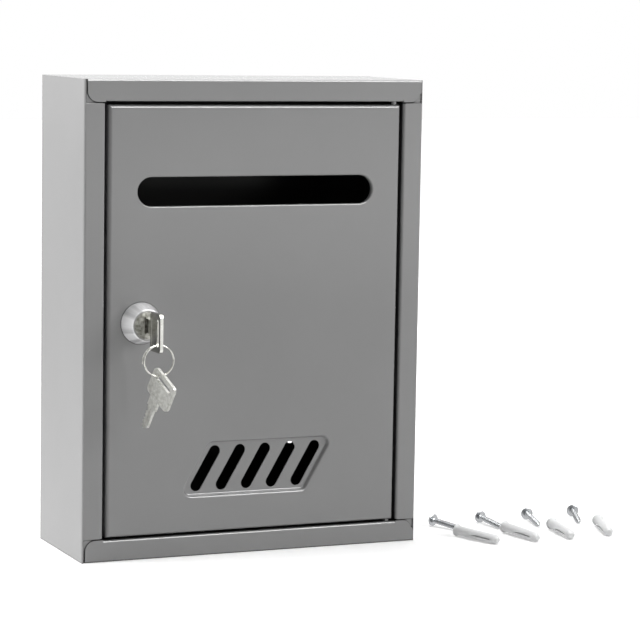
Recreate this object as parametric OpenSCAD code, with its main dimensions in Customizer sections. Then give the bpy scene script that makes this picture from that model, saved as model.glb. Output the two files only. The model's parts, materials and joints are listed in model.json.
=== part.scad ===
// Wall-hung steel donation box: folded case, hinged front door with a posting slot and a vent,
// wafer cam lock with a key, a split ring with the spare key, and the set of wall fixings.
// Millimetres. Origin at the middle of the underside, +X right, -Y to the front, +Z up.

/* [Case] */
// Width over the two sides
case_w = 232; // [200:1:300]
// Height from base to top
case_h = 305; // [260:1:400]
// Depth from front face to back
case_d = 88; // [60:1:140]
// Thickness of the folded steel sheet
sheet_t = 1.0; // [0.8:0.1:1.2]
// Inside radius of every fold
fold_r = 0.5; // [0.3:0.1:1]
// Width of the two upright front strips
strip_w = 13.6; // [12:0.2:18]
// Height of the front bars of the top and bottom pans
bar_h = 13.8; // [12:0.2:18]
// Radius of the free outer corners of the bars
bar_corner_r = 6.8; // [3:0.5:8]
// Gap between each end of a bar and the sheet of the side
bar_end_gap = 1.1; // [0.6:0.1:1.5]
// How far the returned lips round the door opening reach back
lip_d = 12.8; // [12.6:0.1:13.2]
// Width of the turned edge that the door closes on
stop_w = 5; // [3:0.5:6]
// Depth of the side and rear flanges inside the pans
flange_d = 10; // [8:1:14]
// Seam left between a pan and the sides that it sits between
seam = 0.3; // [0.2:0.05:0.4]
// Height of the step that takes a strip behind its bar
joggle_h = 1.0; // [0.8:0.1:1.5]

/* [Wall holes] */
// Diameter of the four holes in the back
wall_hole_d = 6; // [4.5:0.5:8]
// Distance between the holes, left to right
wall_hole_dx = 125; // [100:5:180]
// Distance between the holes, low to high
wall_hole_dz = 190; // [120:5:240]

/* [Door] */
// Gap between the door and each strip
door_gap_side = 2.4; // [2:0.1:3]
// Gap between the door and the top bar
door_gap_top = 2.2; // [1.6:0.1:3]
// Gap between the door and the bottom bar
door_gap_bottom = 1.6; // [1.2:0.1:3]
// Outside radius of the door's folded edges
door_edge_r = 2.8; // [1.4:0.1:3]
// Gap between the door's returned edge and the stop it closes on
stop_gap = 0.3; // [0.2:0.1:0.5]

/* [Posting slot] */
// Clear length of the slot
slot_len = 161.2; // [120:1:170]
// Clear height of the slot
slot_h = 18.4; // [10:0.2:24]
// Height of the slot's middle above the base
slot_z = 234.5; // [200:1:240]
// Radius that the rim is rolled in by
rim_r = 1.2; // [1.1:0.1:2]
// Depth of the rolled rim behind the face
rim_d = 3.5; // [2.5:0.5:6]

/* [Vent] */
// Number of vent slots
vent_count = 5; // [3:1:6]
// Distance from one vent slot to the next
vent_pitch = 17.4; // [14:0.2:18]
// Width of a vent slot
vent_slot_w = 7.4; // [3:0.2:9]
// Length of a vent slot from end to end
vent_slot_len = 32.6; // [20:0.2:34]
// Lean of the slots away from upright
vent_lean = 30; // [0:1:40]
// Height of the vent's middle above the base
vent_z = 56.2; // [50:0.1:70]
// Shift of the vent to the right of the door's middle
vent_x = 2.6; // [-10:0.1:10]
// Height of the pressed panel round the slots
vent_panel_h = 35.6; // [32:0.2:40]
// Plain metal left beside the outer slots
vent_margin = 9; // [6:0.2:10]
// How far the panel is pressed in
vent_depth = 3; // [1.5:0.1:3]
// Width of the sloping wall round the pressed panel
vent_wall = 1.2; // [1:0.1:2.4]
// Corner radius of the pressed panel
vent_corner_r = 5; // [2:0.5:6]

/* [Hinge] */
// Diameter of the hinge pins
pin_d = 3; // [2:0.2:3.2]
// Diameter of the collar that sets the door's height
pin_collar_d = 4.6; // [4:0.2:6]
// Distance of the pins from the door's right edge
hinge_inset = 3.3; // [3:0.1:3.6]
// Distance of the pins behind the door's front face
hinge_back = 4.5; // [4.2:0.1:4.8]
// Clearance between a running pin and its hole, on the radius
run_gap = 0.06; // [0.02:0.01:0.1]

/* [Lock] */
// Distance of the lock's axis from the case's left side
lock_inset = 38.1; // [34:0.1:60]
// Height of the lock's axis above the base
lock_z = 151.7; // [120:0.1:180]
// Diameter of the bezel at the door
bezel_d = 26.5; // [25:0.5:30]
// Diameter of the bezel's front face
bezel_face_d = 20.6; // [19.8:0.2:23]
// Height of the bezel in front of the door
bezel_h = 13; // [8:0.5:14]
// Diameter of the lock's threaded barrel
barrel_d = 18.6; // [18:0.1:20]
// Distance over the flats of the barrel
barrel_flat = 16; // [15:0.1:17]
// How far the barrel reaches behind the door's front face
barrel_back = 12.5; // [12.5:0.1:16]
// Diameter of the plug's head
plug_head_d = 17; // [14:0.1:17.6]
// Length of the plug's head
plug_head_l = 3.1; // [2:0.1:4]
// Diameter of the plug's body
plug_d = 11.6; // [11:0.1:12]
// How far the plug's face sits behind the bezel's face
plug_recess = 0.3; // [0.1:0.1:1]
// Width over the square tail that drives the cam
tail_sq = 7; // [6:0.2:7.6]
// Diameter of the tail's threaded end
stud_d = 5; // [4:0.5:6]
// Width over the flats of the lock nut
lock_nut_af = 24; // [22:0.5:26]
// Thickness of the lock nut
lock_nut_t = 4; // [2.5:0.5:5]
// Thickness of the washer under the lock nut
lock_washer_t = 1.2; // [0.8:0.1:2]
// Thickness of the stop washer on the tail
stop_washer_t = 1.0; // [0.8:0.1:1.2]
// Length of the cam from the lock's axis to its tip
cam_len = 30; // [28:0.5:34]
// Width of the cam
cam_w = 14; // [12:0.5:16]
// Thickness of the cam
cam_t = 1.6; // [1.2:0.1:2.5]
// Thickness of the spring washer behind the cam
spring_washer_t = 0.9; // [0.6:0.1:1.5]
// Width over the flats of the cam nut
cam_nut_af = 8; // [7:0.5:10]
// Thickness of the cam nut
cam_nut_t = 3.2; // [2.5:0.1:4]

/* [Key] */
// Length of the blade inside the plug
blade_l = 16; // [15.5:0.5:20]
// Height of the blade
blade_h = 6.6; // [5.5:0.1:7]
// Thickness of the blade
blade_t = 1.8; // [1.4:0.1:2]
// Length of the neck between the plug's face and the bow
neck_l = 7; // [3:0.5:8]
// Height of the neck
neck_h = 9; // [8:0.5:10]
// Length of the bow
bow_l = 18.5; // [16:0.5:22]
// Width of the bow
bow_w = 24.5; // [23.5:0.5:27]
// Thickness of the bow
bow_t = 2.0; // [1.8:0.1:2.4]
// Shift of the bow's middle below the blade's axis
bow_drop = 2.5; // [0:0.5:4]
// Radius of the bow's corners
bow_corner_r = 3; // [2:0.5:5]
// Length of the long hole in the bow
bow_slot_len = 17; // [14:0.5:18]
// Width of the long hole in the bow
bow_slot_w = 3.4; // [3.2:0.1:4]
// Metal left between the long hole and the bow's end
bow_edge = 3; // [2:0.2:4]
// Depth of each notch in the blade, from face to tip
notch_depths = [1.2, 0.6, 1.5, 0.9, 1.2];
// Distance from one notch to the next
notch_pitch = 2.5; // [2.3:0.1:2.6]

/* [Key ring] */
// Inside diameter of the split ring
ring_in_d = 18.4; // [17:0.2:24]
// Thickness of the ring's wire
ring_wire = 1.0; // [0.8:0.1:1.1]
// Turn of the spare key away from square to the door
spare_yaw = 15; // [10:1:30]
// Lean of the spare key where it hangs at rest
spare_lean = 31; // [28:1:34]

/* [Wall fixings] */
// Length of a wall screw under its head
screw_l = 30; // [25:1:40]
// Diameter of a wall screw
screw_d = 4; // [3:0.5:4.5]
// Diameter of a screw's head
screw_head_d = 8.4; // [7:0.2:10]
// Height of a screw's head
screw_head_h = 2.6; // [2:0.2:3]
// Length of a wall plug
plug_anchor_l = 38; // [30:1:40]
// Diameter of a wall plug
plug_anchor_d = 6.4; // [5:0.2:8]
// Diameter of a wall plug's flange
anchor_flange_d = 8.2; // [7:0.2:10]
// Distance of the first screw from the case's side
kit_gap = 34; // [15:1:40]
// Distance from one screw to the next
kit_pitch = 36; // [20:1:40]

/* [Hidden] */
$fn = 64;

paint = "#8c8c8c";
chrome = "#d8d9dc";
steel = "#b4b6b8";
nickel = "#c6c7c2";
brass = "#c9a94e";
nylon = "#f0f0ee";
eps = 0.01;

outer_r = fold_r + sheet_t;
front_y = -case_d / 2;
left_x = -case_w / 2;
top_z = case_h;
opening_l = left_x + strip_w;
opening_r = -opening_l;

door_l = opening_l + door_gap_side;
door_w = case_w - 2 * (strip_w + door_gap_side);
door_z0 = bar_h + door_gap_bottom;
door_h = case_h - 2 * bar_h - door_gap_bottom - door_gap_top;
door_d = lip_d - sheet_t - stop_gap;

hinge_x = door_l + door_w - hinge_inset;
hinge_y = front_y + hinge_back;
pin_head_t = 1;
pin_head_d = 5.4;
pin_reach = 1.5;

lock_x = left_x + lock_inset;
plug_face = -bezel_h + plug_recess;
tail_clear = 0.3;
tail_start = barrel_back + tail_clear;
cam_y = tail_start + stop_washer_t;
spring_washer_y = cam_y + cam_t;
cam_nut_y = spring_washer_y + spring_washer_t;
stud_end = cam_nut_y + cam_nut_t + 1;
thread_gap = 0.05;
wafer_t = 1;
wafer_w = 7;
wafer_gap = 0.1;
wafer_trim = 0.2;
wafer_count = len(notch_depths);
first_notch = 3.2;
key_gap = 0.15;
key_seat = 0.2;
mouth_w = 1.2;
mouth_h = 10.5;
mouth_d = 2;
bezel_foot = 0.8;
bezel_bevel = 0.6;
lug_in_r = 7.2;
lug_gap = 0.4;
tab_w = 3.2;
tab_trim = 0.2;
tab_half = 14;
spring_d = 0.9;
spring_l = 4;
spring_turns = 5;
spring_wire = 0.24;
spring_gap = 0.15;
spring_inset = 1.1;

blade_tip_l = 2.4;
blade_tip_h = 1.2;
notch_floor = 1.4;
notch_slope = 0.6;
blade_groove_h = 1.4;
blade_groove_d = 0.4;
bow_panel_margin = 4;
bow_panel_d = 0.25;

bow_slot_x = neck_l + bow_l - bow_edge - bow_slot_w / 2;
bow_slot_low = -bow_drop - bow_slot_len / 2;
bridge = bow_w / 2 - bow_slot_len / 2;
ring_seat = 0.6;
ring_lift = bridge / 2 + ring_seat;
ring_r = ring_in_d / 2;
ring_pivot_z = bow_slot_low - bridge / 2;
ring_centre_z = ring_pivot_z + ring_lift - ring_r;
ring_y = plug_face - bow_slot_x;
ring_low_z = ring_centre_z - ring_r - ring_wire / 2;
hang_gap = 0.3;
spare_drop = 1.6;
spare_out = 0.5;

fan_screws = [21, 5, -11, -20];
fan_plugs = [19, 8, -8, -18];
screw_tip_l = 5;
drive_l = 4;
drive_w = 1;
drive_d = 1.2;
kit_screw_y = -4;
kit_row_gap = 6;
kit_plug_y = kit_screw_y - screw_l - kit_row_gap;
anchor_flange_h = 1.4;
anchor_tip_l = 2.5;
anchor_tip_in = 1.6;
anchor_bore = 0.9;
anchor_slit_w = 0.8;
anchor_slit_from = 0.45;
anchor_slit_l = 0.42;
fin_from = 0.4;
fin_l = 9;
fin_out = 1.6;
fin_t = 1;

// A folded strip of sheet: each step is [straight length, turn], turn +1 left, -1 right, 0 at the end.
module folded(path, i = 0) {
    run = path[i][0];
    turn = path[i][1];
    square([run, sheet_t]);
    if (turn == 1) {
        translate([run, outer_r]) fold_arc();
        translate([run + outer_r, outer_r]) rotate(90) folded(path, i + 1);
    }
    if (turn == -1) {
        translate([run, -fold_r]) mirror([0, 1]) fold_arc();
        translate([run + fold_r, -fold_r]) rotate(-90) folded(path, i + 1);
    }
}

// Quarter ring of sheet that starts straight below its centre and turns left
module fold_arc() {
    difference() {
        circle(outer_r);
        circle(fold_r);
        translate([-2 * outer_r, -outer_r - eps]) square([2 * outer_r, 2 * outer_r + 2 * eps]);
        translate([-eps, 0]) square([2 * outer_r, 2 * outer_r]);
    }
}

// What a square corner at the origin loses when it is rounded, for a shape that lies at +X +Y
module corner_cut(r) {
    difference() {
        translate([-eps, -eps]) square(r + eps);
        translate([r, r]) circle(r);
    }
}

// Runs a profile drawn in (Y, Z) along X
module along_x(x0, x1) {
    translate([x0, 0, 0]) rotate([90, 0, 90]) linear_extrude(x1 - x0) children();
}

// Runs a profile drawn in (X, Z) back from the front, from depth y0 to y1
module back_from_front(y0, y1) {
    translate([0, front_y + y1, 0]) rotate([90, 0, 0]) linear_extrude(y1 - y0) children();
}

// Obround of a given length between its end centres, lying along X
module obround(between, r) {
    square([between, 2 * r], center = true);
    for (side = [-1, 1]) translate([side * between / 2, 0]) circle(r);
}

// Points of a polygon's corners rounded to r; corners go round to the left
function unit(v) = v / norm(v);
function corner_arc(a, b, c, r, steps = 6) =
    let (
        u = unit(a - b),
        w = unit(c - b),
        half = acos(u * w) / 2,
        mid = b + unit(u + w) * r / sin(half),
        start = atan2((b + u * r / tan(half) - mid)[1], (b + u * r / tan(half) - mid)[0])
    )
    [for (i = [0:steps]) let (t = start + (180 - 2 * half) * i / steps) mid + r * [cos(t), sin(t)]];
function rounded(p, r) = [for (i = [0:len(p) - 1])
    each corner_arc(p[(i + len(p) - 1) % len(p)], p[i], p[(i + 1) % len(p)], r)];

// ---- Case ----

strip_run = strip_w - 2 * outer_r;
side_run = case_d - 2 * outer_r;
back_run = case_w - 2 * outer_r;
zone_low = bar_h + 1.4;

// Back, sides, front strips and the returned lips, folded from one sheet
module body_wrap() {
    color(paint) difference() {
        union() {
            difference() {
                linear_extrude(case_h) wrap_profile();
                for (side = [0, 1]) wrap_end(side) strip_clearance();
            }
            for (side = [0, 1]) wrap_end(side) for (edge = [0, 1]) mirror([edge, 0, 0]) joggled_strip();
        }
        for (x = [-1, 1], z = [-1, 1])
            translate([x * wall_hole_dx / 2, case_d / 2, case_h / 2 + z * wall_hole_dz / 2])
                rotate([90, 0, 0]) cylinder(d = wall_hole_d, h = 6 * sheet_t, center = true);
    }
}

// Places something made for the foot of the case at the foot (0) or the head (1)
module wrap_end(side) {
    translate([0, 0, side * case_h]) mirror([0, 0, side]) children();
}

module wrap_profile() {
    translate([opening_l + stop_w, front_y + lip_d]) rotate(180)
        folded([
            [stop_w + sheet_t - outer_r, 1],
            [lip_d - 2 * outer_r, -1],
            [strip_run, -1],
            [side_run, -1],
            [back_run, -1],
            [side_run, -1],
            [strip_run, -1],
            [lip_d - outer_r, 0]
        ]);
}

// Space at one end of the wrap that the pan's bar and lip take
module strip_clearance() {
    for (edge = [0, 1]) mirror([edge, 0, 0])
        translate([left_x + sheet_t, front_y - 1, -1])
            cube([strip_w + stop_w, lip_d + 2, zone_low + 1]);
}

// The strip's end, stepped back by one thickness so that it lies behind the bar
module joggled_strip() {
    inner = left_x + strip_w - outer_r;
    along_x(left_x + sheet_t - eps, inner) polygon([
        [front_y, zone_low],
        [front_y + sheet_t, zone_low],
        [front_y + 2 * sheet_t, zone_low - joggle_h],
        [front_y + 2 * sheet_t, 2 * sheet_t],
        [front_y + sheet_t, 2 * sheet_t],
        [front_y + sheet_t, zone_low - joggle_h]
    ]);
}

pan_half = case_w / 2 - sheet_t - seam;
bar_half = case_w / 2 - sheet_t - bar_end_gap;
lip_half = case_w / 2 - strip_w - seam;
bar_overlap = 0.4;
pan_run = case_d - sheet_t - 2 * outer_r;

// Head or foot of the case: a plate with a front bar, a returned lip and inner flanges
module pan() {
    difference() {
        union() {
            along_x(-lip_half, lip_half) pan_profile_with_lip();
            for (side = [0, 1]) mirror([side, 0, 0]) {
                along_x(-pan_half, -lip_half) pan_profile_plain();
                translate([-pan_half, front_y + 3 * sheet_t, sheet_t - eps])
                    cube([sheet_t, case_d - 6 * sheet_t, flange_d]);
            }
        }
        for (side = [0, 1]) mirror([side, 0, 0]) {
            translate([-case_w / 2, front_y - 1, -1])
                cube([case_w / 2 - bar_half, 1 + outer_r, bar_h + bar_overlap + 2]);
            translate([-bar_half, front_y + outer_r, bar_h + bar_overlap])
                rotate([90, 0, 0]) mirror([0, 1, 0])
                    linear_extrude(2 * outer_r) corner_cut(bar_corner_r);
            translate([-pan_half, case_d / 2 - sheet_t, -1])
                mirror([0, 1, 0]) linear_extrude(bar_h) corner_cut(fold_r);
        }
        translate([hinge_x, hinge_y, bar_h]) cylinder(d = pin_d + 2 * run_gap, h = 4 * sheet_t, center = true);
    }
}

module pan_profile_with_lip() {
    translate([front_y + lip_d, bar_h]) rotate(180)
        folded([
            [lip_d - outer_r, 1],
            [bar_h - 2 * outer_r, 1],
            [pan_run, 1],
            [flange_d, 0]
        ]);
}

module pan_profile_plain() {
    translate([front_y, bar_h + bar_overlap]) rotate(-90)
        folded([
            [bar_h + bar_overlap - outer_r, 1],
            [pan_run, 1],
            [flange_d, 0]
        ]);
}

module bottom_pan() {
    color(paint) pan();
}

module top_pan() {
    color(paint) wrap_end(1) pan();
}

// Shouldered pin riveted in a lip; the collar stops short of the door by the hanging gap
module hinge_pin(door_gap) {
    translate([hinge_x, hinge_y, bar_h]) {
        translate([0, 0, -sheet_t - pin_head_t]) cylinder(d = pin_head_d, h = pin_head_t);
        translate([0, 0, -sheet_t - eps]) cylinder(d = pin_d, h = 2 * sheet_t + door_gap + pin_reach);
        cylinder(d = pin_collar_d, h = door_gap - hang_gap);
    }
}

module upper_hinge_pin() {
    color(steel) wrap_end(1) hinge_pin(door_gap_top);
}

module lower_hinge_pin() {
    color(steel) hinge_pin(door_gap_bottom);
}

// ---- Door ----

// Flat profile with its two front corners rounded; the front is at zero depth
module door_section(width, depth, r) {
    difference() {
        square([width, depth]);
        corner_cut(r);
        translate([width, 0]) mirror([1, 0]) corner_cut(r);
    }
}

// Block with four rounded front edges, inset from the door's outside by skin
module door_block(skin, depth) {
    r = door_edge_r - skin;
    intersection() {
        translate([door_l + skin, front_y + skin, door_z0])
            linear_extrude(door_h) door_section(door_w - 2 * skin, depth, r);
        along_x(door_l, door_l + door_w)
            translate([front_y + skin, door_z0 + door_h - skin]) rotate(-90)
                door_section(door_h - 2 * skin, depth, r);
    }
}

slot_r = slot_h / 2;
slot_between = slot_len - slot_h;
vent_run = (vent_count - 1) * vent_pitch;
vent_half_w = vent_run / 2 + vent_margin;
vent_skew = tan(vent_lean) * vent_panel_h / 2;

// Folded tray with the rolled slot, the pressed vent, the lock's hole and the hinge holes
module door_panel() {
    color(paint) difference() {
        union() {
            difference() {
                door_block(0, door_d);
                door_block(sheet_t, door_d);
            }
            back_from_front(sheet_t - eps, rim_d) translate([0, slot_z]) obround(slot_between, slot_r + sheet_t);
            vent_pan(sheet_t / 2, vent_depth + sheet_t, sheet_t);
        }
        back_from_front(-1, rim_d + 1) translate([0, slot_z]) obround(slot_between, slot_r);
        slot_rounding();
        vent_pan(-1, vent_depth, 0);
        back_from_front(-1, 2 * vent_depth + sheet_t) vent_slots();
        back_from_front(-1, 3 * sheet_t) translate([lock_x, lock_z]) double_d(thread_gap);
        for (z = [door_z0, door_z0 + door_h])
            translate([hinge_x, hinge_y, z])
                cylinder(d = pin_d + 2 * run_gap, h = 4 * sheet_t, center = true);
    }
}

// Rounds the slot's front edge: two half rings and two straight runs
module slot_rounding() {
    translate([0, front_y, slot_z]) rotate([-90, 0, 0]) {
        for (side = [0, 1]) mirror([side, 0, 0])
            translate([slot_between / 2, 0, 0]) rotate(-90) rotate_extrude(angle = 180) rim_section();
        for (side = [0, 1]) mirror([0, side, 0])
            translate([-slot_between / 2, 0, 0]) rotate([90, 0, 90])
                linear_extrude(slot_between) rim_section();
    }
}

module rim_section() {
    translate([slot_r, 0]) corner_cut(rim_r);
}

// Outline of the pressed panel, drawn in by inset
function vent_outline(inset) =
    let (
        w = vent_half_w - inset / cos(vent_lean),
        h = vent_panel_h / 2 - inset,
        lean = tan(vent_lean) * h
    )
    rounded(
        [[-w - lean, -h], [w - lean, -h], [w + lean, h], [-w + lean, h]],
        max(vent_corner_r - inset, 0.4)
    );

// How far the sloping wall has come in at a depth; skin puts it behind the wall by that thickness
function vent_inset(depth, skin) =
    vent_wall * depth / vent_depth - skin * norm([1, vent_wall / vent_depth]);

// Slope-sided pan of the vent between two depths behind the door's face
module vent_pan(near, far, skin) {
    ends = [[vent_outline(vent_inset(near, skin)), near], [vent_outline(vent_inset(far, skin)), far]];
    n = len(ends[0][0]);
    points = [for (e = ends, p = e[0]) [vent_x + p[0], front_y + e[1], vent_z + p[1]]];
    sides = [for (i = [0:n - 1]) let (j = (i + 1) % n) [i, j, n + j, n + i]];
    polyhedron(points, concat(sides, [[for (i = [1:n]) n - i], [for (i = [0:n - 1]) n + i]]));
}

module vent_slots() {
    for (i = [0:vent_count - 1])
        translate([vent_x - vent_run / 2 + i * vent_pitch, vent_z]) rotate(90 - vent_lean)
            obround(vent_slot_len - vent_slot_w, vent_slot_w / 2);
}

// ---- Lock ----

// Puts a lock part on its axis: +Z of the child runs back into the case, +Y of it is up
module on_lock_axis(depth = 0) {
    translate([lock_x, front_y + depth, lock_z]) rotate([-90, 0, 0]) mirror([0, 1, 0]) children();
}

// Round with two upright flats, as the barrel and its hole have
module double_d(gap = 0) {
    intersection() {
        circle(d = barrel_d + 2 * gap);
        square([barrel_flat + 2 * gap, barrel_d + 1], center = true);
    }
}

// Chrome bezel and threaded barrel in one casting, with the lug that limits the plug's turn
module lock_housing() {
    color(chrome) on_lock_axis() difference() {
        union() {
            translate([0, 0, -bezel_h]) rotate_extrude() polygon([
                [0, 0],
                [bezel_face_d / 2 - bezel_bevel, 0],
                [bezel_face_d / 2, bezel_bevel],
                [bezel_d / 2, bezel_h - bezel_foot],
                [bezel_d / 2, bezel_h],
                [0, bezel_h]
            ]);
            translate([0, 0, -eps]) linear_extrude(barrel_back + eps) double_d();
            translate([0, 0, barrel_back - eps]) linear_extrude(stop_washer_t + tail_clear) stop_lug();
        }
        translate([0, 0, -bezel_h - 1]) cylinder(d = plug_d + 2 * run_gap, h = bezel_h + barrel_back + 2);
        translate([0, 0, -bezel_h - eps])
            cylinder(d = plug_head_d + 2 * run_gap, h = plug_recess + plug_head_l + run_gap);
    }
}

// Ring sector that leaves the lower left quarter open for the washer's tab
module stop_lug() {
    difference() {
        double_d();
        circle(lug_in_r);
        polygon([
            [0, 0],
            20 * [cos(-90 + tab_half), sin(-90 + tab_half)],
            20 * [cos(-90 + tab_half), sin(-90 + tab_half)] - [20, 0],
            20 * [cos(180 - tab_half), sin(180 - tab_half)] - [0, 20],
            20 * [cos(180 - tab_half), sin(180 - tab_half)]
        ]);
    }
}

module lock_washer() {
    color(steel) on_lock_axis(sheet_t) linear_extrude(lock_washer_t) difference() {
        circle(d = lock_nut_af);
        double_d(thread_gap);
    }
}

module lock_nut() {
    color(steel) on_lock_axis(sheet_t + lock_washer_t) difference() {
        linear_extrude(lock_nut_t) circle(d = lock_nut_af / cos(30), $fn = 6);
        translate([0, 0, -1]) cylinder(d = barrel_d + 2 * thread_gap, h = lock_nut_t + 2);
    }
}

// Plug with the keyway, the wafer chambers, the square tail and its threaded end
module lock_plug() {
    color(steel) on_lock_axis() difference() {
        union() {
            translate([0, 0, plug_face]) cylinder(d = plug_head_d, h = plug_head_l);
            translate([0, 0, plug_face]) cylinder(d = plug_d, h = barrel_back - plug_face);
            linear_extrude(cam_y + cam_t - 0.1) square(tail_sq, center = true);
            cylinder(d = stud_d, h = stud_end);
        }
        translate([0, 0, plug_face - 1])
            linear_extrude(blade_l + 1 + key_gap)
                square([blade_t + 2 * key_gap, blade_h + 2 * key_gap], center = true);
        translate([-blade_t / 2 - key_gap - mouth_w, -mouth_h / 2, plug_face - 1])
            cube([mouth_w + eps, mouth_h, mouth_d + 1]);
        for (i = [0:wafer_count - 1]) translate([0, 0, wafer_place(i)])
            cube([wafer_w + 2 * wafer_gap, plug_d + 2, wafer_t + 2 * wafer_gap], center = true);
    }
}

function wafer_place(i) = plug_face + first_notch + i * notch_pitch;

// Five sliding plates, each with a window that rests on its notch of the key
module lock_wafers() {
    color(brass) for (i = [0:wafer_count - 1]) on_lock_axis(wafer_place(i))
        linear_extrude(wafer_t, center = true) difference() {
            intersection() {
                circle(d = plug_d - 2 * wafer_trim);
                square([wafer_w, plug_d], center = true);
            }
            wafer_window(notch_depths[i]);
            translate([spring_x, 0]) square([spring_d, spring_l] + 2 * [spring_gap, spring_gap], center = true);
        }
}

// Clears the whole blade above, so that the key slides through; the foot is cut to the wafer's depth
module wafer_window(depth) {
    low = -blade_h / 2 - key_gap - depth;
    high = blade_h / 2 + key_gap;
    translate([-blade_t / 2 - key_gap, low]) square([blade_t + 2 * key_gap, high - low]);
}

spring_x = wafer_w / 2 - spring_inset;

// Small coil beside each wafer's window, which pushes the wafer out when the key is gone
module wafer_springs() {
    color(steel) for (i = [0:wafer_count - 1]) on_lock_axis(wafer_place(i))
        translate([spring_x, -spring_l / 2, 0]) rotate([-90, 0, 0]) wafer_spring();
}

module wafer_spring() {
    coil_r = (spring_d - spring_wire) / 2;
    steps = 8 * spring_turns;
    rise = spring_l - spring_wire;
    points = [for (s = [0:steps], c = [0:3])
        let (turn = 45 * s, side = 45 + 90 * c, r = coil_r + spring_wire / 2 * cos(side))
        [r * cos(turn), r * sin(turn), spring_wire / 2 * (1 + sin(side)) + rise * s / steps]];
    sides = [for (s = [0:steps - 1], c = [0:3])
        let (a = 4 * s + c, b = 4 * s + (c + 1) % 4)
        each [[a, a + 4, b + 4], [a, b + 4, b]]];
    last = 4 * steps;
    ends = [[0, 1, 2], [0, 2, 3], [last, last + 2, last + 1], [last, last + 3, last + 2]];
    polyhedron(points, concat(sides, ends));
}

// Washer on the square tail, whose tab runs between the ends of the housing's lug
module stop_washer() {
    color(steel) on_lock_axis(tail_start) linear_extrude(stop_washer_t) difference() {
        union() {
            circle(lug_in_r - lug_gap);
            translate([-tab_w / 2, tab_trim - barrel_d / 2]) square([tab_w, barrel_d / 2 - tab_trim]);
        }
        square(tail_sq + 2 * thread_gap, center = true);
    }
}

// Cam that hooks behind the turned edge; it hangs down where the lock is open
module lock_cam() {
    tip_w = cam_w - 3;
    color(steel) on_lock_axis(cam_y) linear_extrude(cam_t) difference() {
        union() {
            circle(d = cam_w);
            polygon(concat(
                [[cam_w / 2, 0], [-cam_w / 2, 0]],
                [for (i = [0:8]) let (t = 180 + 180 * i / 8)
                    [tip_w / 2 * cos(t), -cam_len + tip_w / 2 + tip_w / 2 * sin(t)]]
            ));
        }
        square(tail_sq + 2 * thread_gap, center = true);
    }
}

// Split spring washer
module spring_washer() {
    color(steel) on_lock_axis(spring_washer_y) linear_extrude(spring_washer_t) difference() {
        circle(d = stud_d + 4);
        circle(d = stud_d + 2 * thread_gap);
        rotate(20) translate([0, -0.5]) square([stud_d + 4, 1]);
    }
}

module cam_nut() {
    color(steel) on_lock_axis(cam_nut_y) difference() {
        linear_extrude(cam_nut_t) circle(d = cam_nut_af / cos(30), $fn = 6);
        translate([0, 0, -1]) cylinder(d = stud_d + 2 * thread_gap, h = cam_nut_t + 2);
    }
}

// ---- Keys ----

// Flat outline of a key: +X out of the lock from the plug's face, +Y up
module key_outline() {
    bow = [
        [neck_l, -bow_drop - bow_w / 2],
        [neck_l + bow_l, -bow_drop - bow_w / 2],
        [neck_l + bow_l, -bow_drop + bow_w / 2],
        [neck_l, -bow_drop + bow_w / 2]
    ];
    difference() {
        polygon(rounded(bow, bow_corner_r));
        translate([bow_slot_x, -bow_drop]) rotate(90) obround(bow_slot_len - bow_slot_w, bow_slot_w / 2);
    }
    translate([key_seat, -neck_h / 2]) square([neck_l, neck_h]);
}

// Blade with its point, and notches that match the wafers
module blade_outline() {
    difference() {
        polygon([
            [key_seat + eps, -blade_h / 2],
            [key_seat + eps, blade_h / 2],
            [blade_tip_l - blade_l, blade_h / 2],
            [-blade_l, blade_tip_h / 2],
            [-blade_l, -blade_tip_h / 2],
            [blade_tip_l - blade_l, -blade_h / 2]
        ]);
        for (i = [0:wafer_count - 1]) let (x = plug_face - wafer_place(i), d = notch_depths[i])
            polygon([
                [x - notch_floor / 2, blade_h / 2 - d],
                [x + notch_floor / 2, blade_h / 2 - d],
                [x + notch_floor / 2 + notch_slope * d, blade_h / 2 + eps],
                [x - notch_floor / 2 - notch_slope * d, blade_h / 2 + eps]
            ]);
    }
}

// Whole key, lying in X and Y
module key_body() {
    panel_l = bow_slot_x - bow_slot_w / 2 - neck_l - bow_panel_margin;
    panel_w = bow_w - 2 * bow_panel_margin;
    difference() {
        union() {
            linear_extrude(bow_t, center = true) key_outline();
            linear_extrude(blade_t, center = true) blade_outline();
        }
        for (side = [0, 1]) mirror([0, 0, side]) {
            translate([-blade_l - 1, -blade_groove_h, blade_t / 2 - blade_groove_d])
                cube([blade_l + 1, blade_groove_h, 1]);
            translate([neck_l + bow_panel_margin / 2, -bow_drop - panel_w / 2, bow_t / 2 - bow_panel_d])
                cube([panel_l, panel_w, 1]);
        }
    }
}

// The key in the lock: the bow stands upright, square to the door
module key() {
    color(nickel) translate([lock_x, front_y + plug_face, lock_z])
        rotate([0, 0, -90]) rotate([90, 0, 0]) key_body();
}

// Split ring: two turns of wire, side by side
module key_ring() {
    color(nickel) translate([lock_x, front_y + ring_y, lock_z + ring_centre_z]) rotate([90, 0, 0])
        rotate_extrude() translate([ring_r + ring_wire / 2, 0]) {
            for (side = [-1, 1]) translate([0, side * ring_wire / 2]) circle(d = ring_wire);
            square(ring_wire, center = true);
        }
}

// The spare key hangs from the foot of the ring by the upper end of its long hole
module spare_key() {
    hang_y = bow_slot_len / 2 - bow_drop - spare_drop;
    color(nickel) translate([lock_x, front_y + ring_y, lock_z + ring_low_z])
        rotate([0, 0, spare_yaw - 90]) rotate([90, 0, 0]) rotate(90 - spare_lean)
            translate([-bow_slot_x - spare_out, -hang_y, 0]) key_body();
}

// ---- Wall fixings, lying beside the case ----

module kit_place(i, y, turn, height, dip) {
    translate([case_w / 2 + kit_gap + i * kit_pitch, y, height])
        rotate([0, 0, turn]) rotate([90 + dip, 0, 0]) children();
}

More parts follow.
